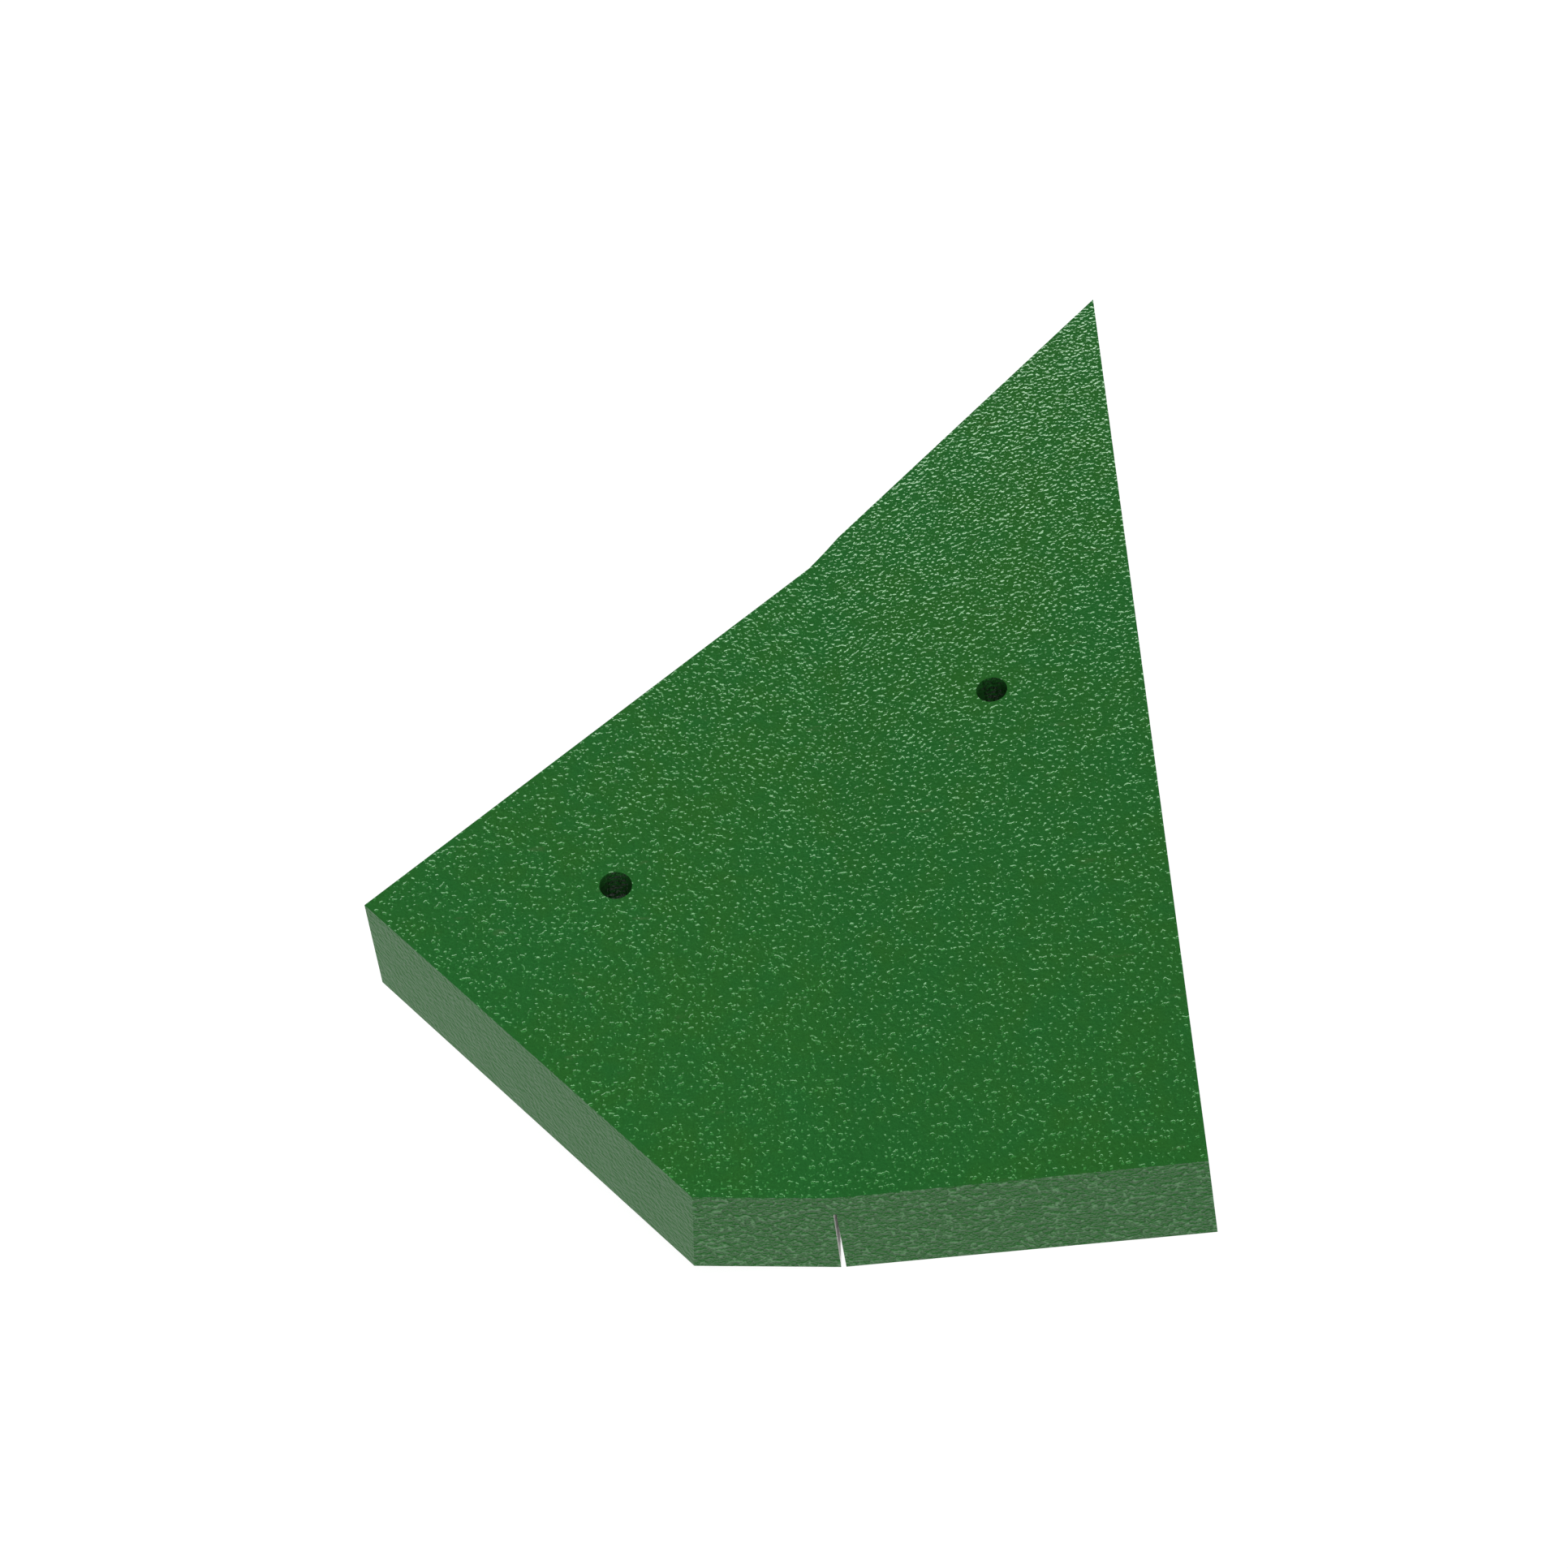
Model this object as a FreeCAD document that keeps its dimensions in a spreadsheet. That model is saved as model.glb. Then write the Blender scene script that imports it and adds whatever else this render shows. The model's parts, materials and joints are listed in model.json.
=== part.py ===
import FreeCAD, Part
import math
import os

import Sketcher

# Faceted climbing panel: a textured sheet, folded once into a shallow valley, with two hold positions.
# A skirt of mitred rails stands under its edge. The outline is drawn in the plane of each facet.
#
# Facet coordinates: x runs across, y runs up the fold, z is square to the facet and up, and the origin
# is the foot of the sharp fold line on the top surface. The right facet lies level, and the left facet
# turns about y.
#
#            E
#          / |        A-B lower left edge     D-E side edge
#       F/   |        B-C bottom left edge    E-F upper right edge
#      / |   |        C-D bottom right edge   F-A upper left edge
#    A   |   |        C-F is the fold
#     \  |   |
#      B-C---D

Vector = FreeCAD.Vector
Rotation = FreeCAD.Rotation
Placement = FreeCAD.Placement
ACROSS = Vector(1, 0, 0)
ALONG = Vector(0, 1, 0)
UP = Vector(0, 0, 1)
FULL_TURN = 360.0
HALF_TURN = 180.0
RIGHT_ANGLE = 90.0
DRIVE_CORNERS = 6

# Driving dimensions, in millimetres and degrees.
DIMENSIONS = {
    # outline
    "bottom_left": 46.0,
    "lower_left": 167.0,
    "rake": 43.6,
    "bottom_right": 122.5,
    "crown_jog": 3.5,
    "crown_reach": 5.8,
    # sheet and fold
    "plate_thickness": 12.0,
    "fold_angle": 13.1,
    "bend_radius": 50.0,
    # skirt
    "panel_depth": 51.0,
    "rail_width": 18.0,
    "slit_top": 1.0,
    "slit_bottom": 1.8,
    # hold positions: the left one from its facet's two edges that meet at A
    "hold_hole": 12.0,
    "hold_left_from_upper": 58.35,
    "hold_left_from_lower": 69.14,
    "hold_right_x": 65.0,
    "hold_right_y": 208.0,
    "block_side": 54.0,
    "block_thickness": 20.0,
    "block_screw_inset": 7.0,
    # tee nuts
    "tee_flange": 38.0,
    "tee_flange_thickness": 1.6,
    "tee_barrel": 13.0,
    "tee_barrel_length": 12.0,
    "tee_thread": 8.5,
    "tee_screw_circle": 28.0,
    "tee_socket_gap": 0.1,
    "tee_end_gap": 0.4,
    # fold straps
    "strap_width": 30.0,
    "strap_thickness": 3.0,
    "strap_reach": 34.0,
    "strap_low_y": 60.0,
    "strap_high_drop": 92.47,
    "strap_screw_x": 22.0,
    "strap_screw_y": 8.0,
    # mounting brackets
    "bracket_width": 40.0,
    "bracket_foot": 32.0,
    "bracket_back": 32.0,
    "bracket_thickness": 3.0,
    "bracket_corner": 4.5,
    "bracket_lift": 0.5,
    "bracket_hole": 9.0,
    "bracket_hole_out": 19.0,
    "bracket_screw_height": 20.0,
    "bracket_screw_spread": 24.0,
    # from each bracket's middle to the next rail screw along its rail
    "bracket_lower_back": 28.5,
    "bracket_upper_back": 16.31,
    "bracket_side_low_back": 34.68,
    "bracket_side_high_back": 37.32,
    # screws
    "wood_screw": 4.0,
    "wood_head": 7.6,
    "wood_head_height": 2.6,
    "nut_screw": 3.0,
    "nut_head": 5.4,
    "nut_head_height": 1.8,
    "screw_tip": 2.5,
    # a screw head's flat crown and rounded shoulder, and its hexagonal drive, as shares of its radius
    "head_crown": 0.55,
    "head_shoulder": 0.7,
    "drive_corner": 0.44,
    # its straight edge and the drive's depth, as shares of its height
    "head_edge": 0.4,
    "drive_depth": 0.6,
    "plate_bite": 9.0,
    "block_bite": 12.0,
    "rail_bite": 14.0,
    "rail_sink": 16.0,
    "pilot_gap": 0.05,
    "pass_gap": 0.25,
    "head_gap": 0.4,
    # where the upper left rail starts to narrow at the rim, to end flush with its neighbour at the fold
    "relief_run": 22.0,
    # how far a cut runs past what it cuts
    "overcut": 1.0,
}

# Derived places, as formulas on the driving dimensions.
LAYOUT = {
    "half_fold": "dims.fold_angle * 1deg / 2",
    "fold_sine": "sin(dims.fold_angle * 1deg)",
    "fold_cosine": "cos(dims.fold_angle * 1deg)",
    "half_tangent": "tan(half_fold)",
    "half_cosine": "cos(half_fold)",
    "rake_sine": "sin(dims.rake * 1deg)",
    "rake_cosine": "cos(dims.rake * 1deg)",
    "rake_half_tangent": "tan(dims.rake * 1deg / 2)",
    "rise": "rake_cosine / rake_sine",
    "edge_a_x": "-dims.bottom_left - dims.lower_left * rake_cosine",
    "edge_a_y": "dims.lower_left * rake_sine",
    # height, at the fold, of the upper left edge, the upper right edge and their inner sides
    "crown_left": "edge_a_y - edge_a_x * rise",
    "crown_right": "crown_left + dims.crown_jog",
    "rail_drop": "dims.rail_width / rake_sine",
    "edge_e_y": "crown_right + dims.bottom_right * rise",
    "jog_slope": "rise + dims.crown_jog / (2 * dims.crown_reach)",
    "jog_middle": "(crown_left + crown_right) / 2",
    # inner corners of the skirt
    "inner_a_x": "edge_a_x + dims.rail_width * (rake_cosine + rake_sine)",
    "inner_a_y": "edge_a_y + dims.rail_width * (rake_cosine - rake_sine)",
    "inner_b_x": "-dims.bottom_left + dims.rail_width * rake_half_tangent",
    "inner_d_x": "dims.bottom_right - dims.rail_width",
    "inner_e_y": "crown_right + inner_d_x * rise - rail_drop",
    # the fold: half the width of the rounded bend, and the slit between the rails at its top and foot
    "bend_half": "dims.bend_radius * half_tangent",
    "rail_height": "dims.panel_depth - dims.plate_thickness",
    "slit_high": "dims.plate_thickness * half_tangent - dims.slit_top / 2 / half_cosine",
    "slit_low": "dims.panel_depth * half_tangent - dims.slit_bottom / 2 / half_cosine",
    "slit_lean": "(slit_low - slit_high) / rail_height",
    "fold_foot": "dims.panel_depth * half_tangent",
    "fold_reach": "fold_foot + 2 * dims.overcut",
    "waste": "dims.lower_left + dims.panel_depth",
    # the row's origin is the middle of the outer box, at its foot
    "low_x": "edge_a_x * fold_cosine - dims.panel_depth * fold_sine",
    "shift_x": "-(low_x + dims.bottom_right) / 2",
    "shift_y": "-edge_e_y / 2",
}

doc = FreeCAD.newDocument("climbing_panel")


def fill_sheet(name, cells):
    """A sheet with one alias and one cell for each entry. A number or a formula goes in as text."""
    sheet = doc.addObject("Spreadsheet::Sheet", name)
    for row, (alias, content) in enumerate(cells.items(), start=1):
        cell = f"B{row}"
        sheet.set(f"A{row}", alias)
        sheet.set(cell, str(content))
        sheet.setAlias(cell, alias)
    return sheet


dims = fill_sheet("dims", DIMENSIONS)
doc.recompute()
layout = fill_sheet("layout", {alias: "=" + formula for alias, formula in LAYOUT.items()})
doc.recompute()


def value(formula):
    """What a formula on the two sheets gives, as a plain number."""
    result = layout.evalExpression(str(formula))
    return float(getattr(result, "Value", result))


# Facets

FACET_ANGLE = {"left": value("dims.fold_angle"), "right": 0.0}


def facet_place(side):
    """Where the facet's own coordinates lie in the row frame."""
    origin = Vector(value("layout.shift_x"), value("layout.shift_y"), value("dims.panel_depth"))
    return Placement(origin, Rotation(ALONG, FACET_ANGLE[side]))


def on_facet(side, x, y, z, turn=0.0):
    """A place on a facet, turned about the facet's normal."""
    return facet_place(side) * Placement(Vector(x, y, z), Rotation(UP, turn))


# Sketches and bodies

def new_body(name, place):
    body = doc.addObject("PartDesign::Body", name)
    body.Label = name
    body.Placement = place
    doc.recompute()
    return body


def base_plane(body, role):
    return next(plane for plane in body.Origin.OriginFeatures if plane.Role == role)


def profile(body, name, role, points, arcs=None, lift="0"):
    """A closed sketch through (x, y) formulas. arcs gives the radius of each round edge, by its index.

    A radius written with a minus sign puts the arc's centre on the right of the way along the outline.
    """
    arcs = arcs or {}
    sketch = body.newObject("Sketcher::SketchObject", name)
    sketch.AttachmentSupport = [(base_plane(body, role), "")]
    sketch.MapMode = "FlatFace"
    sketch.setExpression("AttachmentOffset.Base.z", lift)
    places = [Vector(value(x), value(y), 0) for x, y in points]
    count = len(places)
    for index, start in enumerate(places):
        end = places[(index + 1) % count]
        if index in arcs:
            sketch.addGeometry(arc_between(start, end, value(arcs[index])))
        else:
            sketch.addGeometry(Part.LineSegment(start, end))
    ends = [edge_ends(sketch, index, places[index]) for index in range(count)]
    for index in range(count):
        following = (index + 1) % count
        leaving = ends[index][1]
        arriving = ends[following][0]
        sketch.addConstraint(Sketcher.Constraint("Coincident", index, leaving, following, arriving))
    for index, formulas in enumerate(points):
        for kind, formula in zip(("DistanceX", "DistanceY"), formulas):
            number = value(formula)
            constraint = Sketcher.Constraint(kind, -1, 1, index, ends[index][0], number)
            at = sketch.addConstraint(constraint)
            sketch.setExpression(f"Constraints[{at}]", formula)
    for index, radius in arcs.items():
        at = sketch.addConstraint(Sketcher.Constraint("Radius", index, abs(value(radius))))
        sketch.setExpression(f"Constraints[{at}]", f"abs({radius})")
    return sketch


def arc_between(start, end, radius):
    """The short arc from start to end, with its centre on the left, or on the right for a negative radius."""
    chord = end - start
    half = chord.Length / 2
    side = Vector(-chord.y, chord.x, 0).normalize()
    depth = math.sqrt(radius * radius - half * half)
    sign = 1 if radius > 0 else -1
    centre = (start + end) / 2 + side * depth * sign
    middle = centre - side * abs(radius) * sign
    if radius < 0:
        return Part.Arc(end, middle, start)
    return Part.Arc(start, middle, end)


def edge_ends(sketch, index, start):
    """The numbers by which the sketch knows the edge's first and last point."""
    if (sketch.Geometry[index].StartPoint - start).Length < value("dims.pilot_gap"):
        return 1, 2
    return 2, 1


def pad(body, sketch, length, backwards=False):
    feature = body.newObject("PartDesign::Pad", f"{body.Name}_pad_{sketch.Name}")
    feature.Profile = sketch
    feature.setExpression("Length", length)
    feature.Reversed = backwards
    body.Tip = feature
    doc.recompute()
    return feature


def pocket_through(body, sketch):
    before = body.Shape.Volume
    feature = body.newObject("PartDesign::Pocket", f"{body.Name}_pocket_{sketch.Name}")
    feature.Profile = sketch
    feature.Type = "ThroughAll"
    feature.Midplane = True
    body.Tip = feature
    doc.recompute()
    if not body.Shape.Volume < before:
        raise RuntimeError(f"{body.Name}: {sketch.Name} cuts nothing")
    return feature


def revolve(body, sketch):
    feature = body.newObject("PartDesign::Revolution", f"{body.Name}_revolution")
    feature.Profile = sketch
    feature.ReferenceAxis = (sketch, ["V_Axis"])
    body.Tip = feature
    doc.recompute()
    return feature


# Copies and cuts

def copies(name, master, places):
    """One compound of separate copies of a master, one at each place."""
    links = []
    for number, place in enumerate(places, start=1):
        link = doc.addObject("App::Link", f"{name}_{number}")
        link.LinkedObject = master
        link.Placement = place
        links.append(link)
    group = doc.addObject("Part::Compound", name)
    group.Label = name
    group.Links = links
    doc.recompute()
    return group


def cut(name, base, *tools):
    """The base less each tool in turn. The last step carries the name."""
    solid = base
    for step, tool in enumerate(tools, start=1):
        result = doc.addObject("Part::Cut", f"{name}_cut_{step}")
        result.Base = solid
        result.Tool = tool
        solid = result
    doc.recompute()
    solid.Label = name
    return solid


# Screws. Each kind has a screw and a drill that share one origin, the seat under the head, and point
# along +Z.

class ScrewKind:
    """A pan-head screw that passes one piece and bites into the next, and the drill that makes its way."""

    def __init__(self, name, size, head, head_height, passes, bites, sink="0"):
        self.name = name
        self.places = []
        shank = f"{size} / 2"
        cap = f"{head} / 2"
        length = f"({passes} + {bites} - dims.overcut)"
        self.screw = new_body(f"{name}_master", Placement())
        outline = [
            ("0", f"-{head_height}"),
            (f"{cap} * dims.head_crown", f"-{head_height}"),
            (cap, f"-{head_height} * dims.head_edge"),
            (cap, "0"),
            (shank, "0"),
            (shank, f"{length} - dims.screw_tip"),
            ("0", length),
        ]
        shoulder = f"{cap} * dims.head_shoulder"
        revolve(self.screw, profile(self.screw, f"{name}_half", "XZ_Plane", outline, {1: shoulder}))
        self.recess(cap, head_height)
        self.drill = new_body(f"{name}_drill", Placement())
        foot = f"-{sink} - {head_height} - dims.overcut"
        wide = f"{cap} + dims.head_gap"
        free = f"{shank} + dims.pass_gap"
        tight = f"{shank} + dims.pilot_gap"
        outline = [
            ("0", foot),
            (wide, foot),
            (wide, "0"),
            (free, "0"),
            (free, passes),
            (tight, passes),
            (tight, f"{passes} + {bites}"),
            ("0", f"{passes} + {bites}"),
        ]
        revolve(self.drill, profile(self.drill, f"{name}_way", "XZ_Plane", outline))

    def recess(self, cap, head_height):
        """A hexagonal drive in the head."""
        reach = f"{cap} * dims.drive_corner"
        turns = [FULL_TURN * corner / DRIVE_CORNERS for corner in range(DRIVE_CORNERS)]
        ring = [(f"{reach} * cos({turn}deg)", f"{reach} * sin({turn}deg)") for turn in turns]
        sketch = profile(self.screw, f"{self.name}_drive", "XY_Plane", ring, lift=f"-{head_height}")
        feature = self.screw.newObject("PartDesign::Pocket", f"{self.name}_socket")
        feature.Profile = sketch
        feature.setExpression("Length", f"{head_height} * dims.drive_depth")
        feature.Reversed = True
        self.screw.Tip = feature
        before = self.screw.Shape.Volume
        doc.recompute()
        if not self.screw.Shape.Volume < before:
            raise RuntimeError(f"{self.name}: the drive cuts nothing")

    def at(self, places):
        """Notes more places for this kind, and gives the drills for them as one compound."""
        name = f"{self.name}_way_{len(self.places)}"
        self.places.extend(places)
        return copies(name, self.drill, places)


def wood_screw(name, passes, bites, sink="0"):
    size, head, height = "dims.wood_screw", "dims.wood_head", "dims.wood_head_height"
    return ScrewKind(name, size, head, height, passes, bites, sink)


rail_screws = wood_screw(
    "rail_screws", "(layout.rail_height - dims.rail_sink)", "dims.plate_bite", "dims.rail_sink"
)
strap_screws = wood_screw("strap_screws", "dims.strap_thickness", "dims.plate_bite")
block_screws = wood_screw("block_screws", "dims.block_thickness", "dims.plate_bite")
bracket_screws = wood_screw("bracket_screws", "dims.bracket_thickness", "dims.rail_bite")
tee_nut_screws = ScrewKind(
    "tee_nut_screws", "dims.nut_screw", "dims.nut_head", "dims.nut_head_height",
    "dims.tee_flange_thickness", "dims.block_bite",
)


# Skirt rails

def above(line, x):
    """Height of one of the raked lines at x, as a formula. line is its height at the fold."""
    return f"({line} + ({x}) * layout.rise)"


def jog(x):
    """Height of the short steep edge that joins the two upper edges over the fold."""
    return f"(layout.jog_middle + ({x}) * layout.jog_slope)"


CORNER = {
    "A": ("layout.edge_a_x", "layout.edge_a_y"),
    "B": ("-dims.bottom_left", "0"),
    "D": ("dims.bottom_right", "0"),
    "E": ("dims.bottom_right", "layout.edge_e_y"),
}
INNER = {
    "A": ("layout.inner_a_x", "layout.inner_a_y"),
    "B": ("layout.inner_b_x", "dims.rail_width"),
    "D": ("layout.inner_d_x", "dims.rail_width"),
    "E": ("layout.inner_d_x", "layout.inner_e_y"),
}
INSIDE_LEFT = "(layout.crown_left - layout.rail_drop)"
INSIDE_RIGHT = "(layout.crown_right - layout.rail_drop)"
PAST_RIGHT = "layout.fold_reach"
PAST_LEFT = "-layout.fold_reach"


def mitred_rail(name, side, outline, meets_fold):
    """A bar under the sheet's edge. Its outline has the corner mitres. Its fold end is sawn to the slit."""
    body = new_body(f"{name}_bar", facet_place(side))
    sketch = profile(body, f"{name}_outline", "XY_Plane", outline, lift="-dims.plate_thickness")
    pad(body, sketch, "layout.rail_height", backwards=True)
    if meets_fold:
        sign = "" if side == "left" else "-"
        over = "dims.overcut"
        high = f"{sign}(layout.slit_high - layout.slit_lean * {over})"
        low = f"{sign}(layout.slit_low + layout.slit_lean * {over})"
        out = f"{sign}(layout.fold_reach + {over})"
        top = f"-dims.plate_thickness + {over}"
        foot = f"-dims.panel_depth - {over}"
        saw = [(high, top), (low, foot), (out, foot), (out, top)]
        pocket_through(body, profile(body, f"{name}_saw", "XZ_Plane", saw))
    return body


def run_of_screws(start, heading, first, last, count):
    """Points for a row of rail screws, from first to last along a rail whose middle starts at start."""
    step = (last - first) / (count - 1)
    return [start + heading * (first + step * number) for number in range(count)]


half_rail = value("dims.rail_width / 2")
up_rake = Vector(value("layout.rake_sine"), value("layout.rake_cosine"), 0)
down_rake = Vector(value("layout.rake_cosine"), -value("layout.rake_sine"), 0)
point_a = Vector(value("layout.edge_a_x"), value("layout.edge_a_y"), 0)
point_b = Vector(-value("dims.bottom_left"), 0, 0)
point_d = Vector(value("dims.bottom_right"), 0, 0)
point_e = Vector(value("dims.bottom_right"), value("layout.edge_e_y"), 0)
crown_run_left = (0 - point_a.x) / up_rake.x
crown_run_right = point_e.x / up_rake.x

# side, outline, whether it meets the fold, where its middle line starts and heads, and its screws: the
# first and the last along that line, and how many
END_MARGIN = value("dims.rail_width") + value("dims.wood_head") / 2
SHARP_MARGIN = value("dims.rail_width / layout.rake_half_tangent") - value("dims.wood_head")
FOLD_MARGIN = value("layout.fold_reach") + value("dims.wood_head")
RELIEF_MARGIN = value("dims.relief_run / layout.rake_sine") + value("dims.wood_head")
RAILS = {
    "rail_lower_left": (
        "left",
        [CORNER["A"], CORNER["B"], INNER["B"], INNER["A"]],
        False,
        point_b + up_rake * half_rail, down_rake * -1,
        END_MARGIN, value("dims.lower_left") - END_MARGIN, 3,
    ),
    "rail_bottom_left": (
        "left",
        [CORNER["B"], (PAST_RIGHT, "0"), (PAST_RIGHT, "dims.rail_width"), INNER["B"]],
        True,
        ALONG * half_rail, ACROSS * -1,
        value("dims.wood_head"), value("dims.bottom_left") - half_rail, 2,
    ),
    "rail_bottom_right": (
        "right",
        [CORNER["D"], INNER["D"], (PAST_LEFT, "dims.rail_width"), (PAST_LEFT, "0")],
        True,
        ALONG * half_rail, ACROSS,
        FOLD_MARGIN, value("dims.bottom_right") - END_MARGIN, 3,
    ),
    "rail_side": (
        "right",
        [CORNER["D"], CORNER["E"], INNER["E"], INNER["D"]],
        False,
        point_d - ACROSS * half_rail, ALONG,
        END_MARGIN, point_e.y - SHARP_MARGIN - half_rail, 6,
    ),
    "rail_upper_right": (
        "right",
        [
            CORNER["E"], INNER["E"],
            (PAST_LEFT, above(INSIDE_RIGHT, PAST_LEFT)),
            (PAST_LEFT, jog(PAST_LEFT)),
            ("dims.crown_reach", jog("dims.crown_reach")),
        ],
        True,
        point_e + down_rake * half_rail, up_rake * -1,
        SHARP_MARGIN, crown_run_right - END_MARGIN, 3,
    ),
    "rail_upper_left": (
        "left",
        [
            CORNER["A"], INNER["A"],
            (PAST_RIGHT, above(INSIDE_LEFT, PAST_RIGHT)),
            (PAST_RIGHT, jog(PAST_RIGHT)),
            ("-dims.crown_reach", jog("-dims.crown_reach")),
        ],
        True,
        point_a + down_rake * half_rail, up_rake,
        END_MARGIN, crown_run_left - RELIEF_MARGIN, 4,
    ),
}

rail_bars = {}
rail_ways = {}
screw_rows = {}
screw_seat = value("-dims.panel_depth + dims.rail_sink")
for name, (side, outline, meets_fold, start, heading, first, last, count) in RAILS.items():
    rail_bars[name] = mitred_rail(name, side, outline, meets_fold)
    row = run_of_screws(start, heading, first, last, count)
    screw_rows[name] = row
    rail_ways[name] = [rail_screws.at([on_facet(side, at.x, at.y, screw_seat) for at in row])]


# Mounting brackets, each screwed to the inner face of a rail, with its foot level with the skirt's rim

bracket_body = new_body("bracket_master", Placement())
bracket_outline = [
    ("dims.bracket_corner", "0"),
    ("dims.bracket_foot", "0"),
    ("dims.bracket_foot", "dims.bracket_thickness"),
    ("dims.bracket_corner", "dims.bracket_thickness"),
    ("dims.bracket_thickness", "dims.bracket_corner"),
    ("dims.bracket_thickness", "dims.bracket_back"),
    ("0", "dims.bracket_back"),
    ("0", "dims.bracket_corner"),
]
bracket_arcs = {3: "-(dims.bracket_corner - dims.bracket_thickness)", 7: "dims.bracket_corner"}
bracket_sketch = profile(bracket_body, "bracket_section", "XZ_Plane", bracket_outline, bracket_arcs)
bracket_pad = pad(bracket_body, bracket_sketch, "dims.bracket_width")
bracket_pad.Midplane = True
bolt_hole = doc.addObject("Part::Cylinder", "bracket_bolt_hole")
bolt_hole.setExpression("Radius", "dims.bracket_hole / 2")
bolt_hole.setExpression("Height", "dims.bracket_thickness + 2 * dims.overcut")
bolt_hole.setExpression("Placement.Base.x", "dims.bracket_hole_out")
bolt_hole.setExpression("Placement.Base.z", "-dims.overcut")
bracket_holed = cut("bracket_holed", bracket_body, bolt_hole)

rake = value("dims.rake")
inward = ACROSS * -1
# side, rail, the next rail screw along it, how far back from there, the way to the rail's inner face,
# and the turn that faces that way
BRACKETS = {
    "bracket_lower_left": (
        "left", "rail_lower_left", 1, "dims.bracket_lower_back", up_rake, RIGHT_ANGLE - rake,
    ),
    "bracket_upper_left": (
        "left", "rail_upper_left", 2, "dims.bracket_upper_back", down_rake, -rake,
    ),
    "bracket_side_lower": (
        "right", "rail_side", 1, "dims.bracket_side_low_back", inward, HALF_TURN,
    ),
    "bracket_side_upper": (
        "right", "rail_side", 4, "dims.bracket_side_high_back", inward, HALF_TURN,
    ),
}
rim = value("-dims.panel_depth + dims.bracket_lift")
brackets = {}
for name, (side, rail, number, back, way_in, turn) in BRACKETS.items():
    heading = RAILS[rail][4]
    spot = screw_rows[rail][number] - heading * value(back) + way_in * half_rail
    foot = on_facet(side, spot.x, spot.y, rim, turn)
    seats = []
    for half in (-0.5, 0.5):
        seat = Vector(
            value("dims.bracket_thickness"),
            half * value("dims.bracket_screw_spread"),
            value("dims.bracket_screw_height"),
        )
        seats.append(foot * Placement(seat, Rotation(ALONG, -RIGHT_ANGLE)))
    ways = bracket_screws.at(seats)
    rail_ways[rail].append(ways)
    brackets[name] = cut(name, copies(f"{name}_blank", bracket_holed, [foot]), ways)

rails = {name: cut(name, bar, *rail_ways[name]) for name, bar in rail_bars.items()}


# The raked edges meet the fold at a slant, so the two facets' square edges part below the top surface.
# Two leaning offcuts bring them together on the plane that halves the fold.

def leaning_offcut(name, side, corners, lean):
    """A prism over corners in the facet's top plane, swept down along lean."""
    over = lean * (value("dims.overcut") / lean.Length)
    ring = [corner - over for corner in corners]
    face = Part.Face(Part.makePolygon(ring + ring[:1]))
    offcut = doc.addObject("Part::Feature", name)
    offcut.Shape = face.extrude(lean + over * 2)
    offcut.Placement = facet_place(side)
    return offcut


fold_foot = value("layout.fold_foot")
panel_depth = value("dims.panel_depth")
jog_middle = value("layout.jog_middle")
jog_slope = value("layout.jog_slope")
far = value("layout.waste")
crown = Vector(0, jog_middle, 0)
jog_end = Vector(2 * value("dims.crown_reach"), value(jog("2 * dims.crown_reach")), 0)
far_up = ALONG * far
right_lean = Vector(-fold_foot, -jog_slope * fold_foot, -panel_depth)
right_jog_offcut = leaning_offcut(
    "right_jog_offcut", "right", [crown, jog_end, jog_end + far_up, crown + far_up], right_lean
)
rim_start = -value("dims.relief_run")
rim_start_height = value("layout.crown_left") + rim_start * value("layout.rise")
rim_end_height = jog_middle - jog_slope * fold_foot
relief_slope = (rim_end_height - rim_start_height) / (fold_foot - rim_start)
relief_end = crown - Vector(far, far * relief_slope, 0)
left_lean = Vector(fold_foot, -jog_slope * fold_foot, -panel_depth)
left_relief_offcut = leaning_offcut(
    "left_relief_offcut", "left", [crown, crown + far_up, relief_end + far_up, relief_end], left_lean
)
rails["rail_upper_left"] = cut("rail_upper_left_relieved", rails["rail_upper_left"], left_relief_offcut)


# Straps across the fold, and the folded sheet. Both have the same bent section, at different depths.

def bent_section(body, name, depth, thickness, left_reach, right_reach):
    """Two flat legs joined by a bend whose centre stands over the fold, in the right facet's coordinates."""
    near = "layout.bend_half"
    low = f"({depth} + {thickness})"

    def left(x, z):
        across = f"({x}) * layout.fold_cosine + ({z}) * layout.fold_sine"
        height = f"({z}) * layout.fold_cosine - ({x}) * layout.fold_sine"
        return across, height

    outline = [
        (near, f"-{low}"),
        (right_reach, f"-{low}"),
        (right_reach, f"-{depth}"),
        (near, f"-{depth}"),
        left(f"-{near}", f"-{depth}"),
        left(f"-{left_reach}", f"-{depth}"),
        left(f"-{left_reach}", f"-{low}"),
        left(f"-{near}", f"-{low}"),
    ]
    arcs = {3: f"-(dims.bend_radius + {depth})", 7: f"(dims.bend_radius + {low})"}
    return profile(body, name, "XZ_Plane", outline, arcs)


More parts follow.
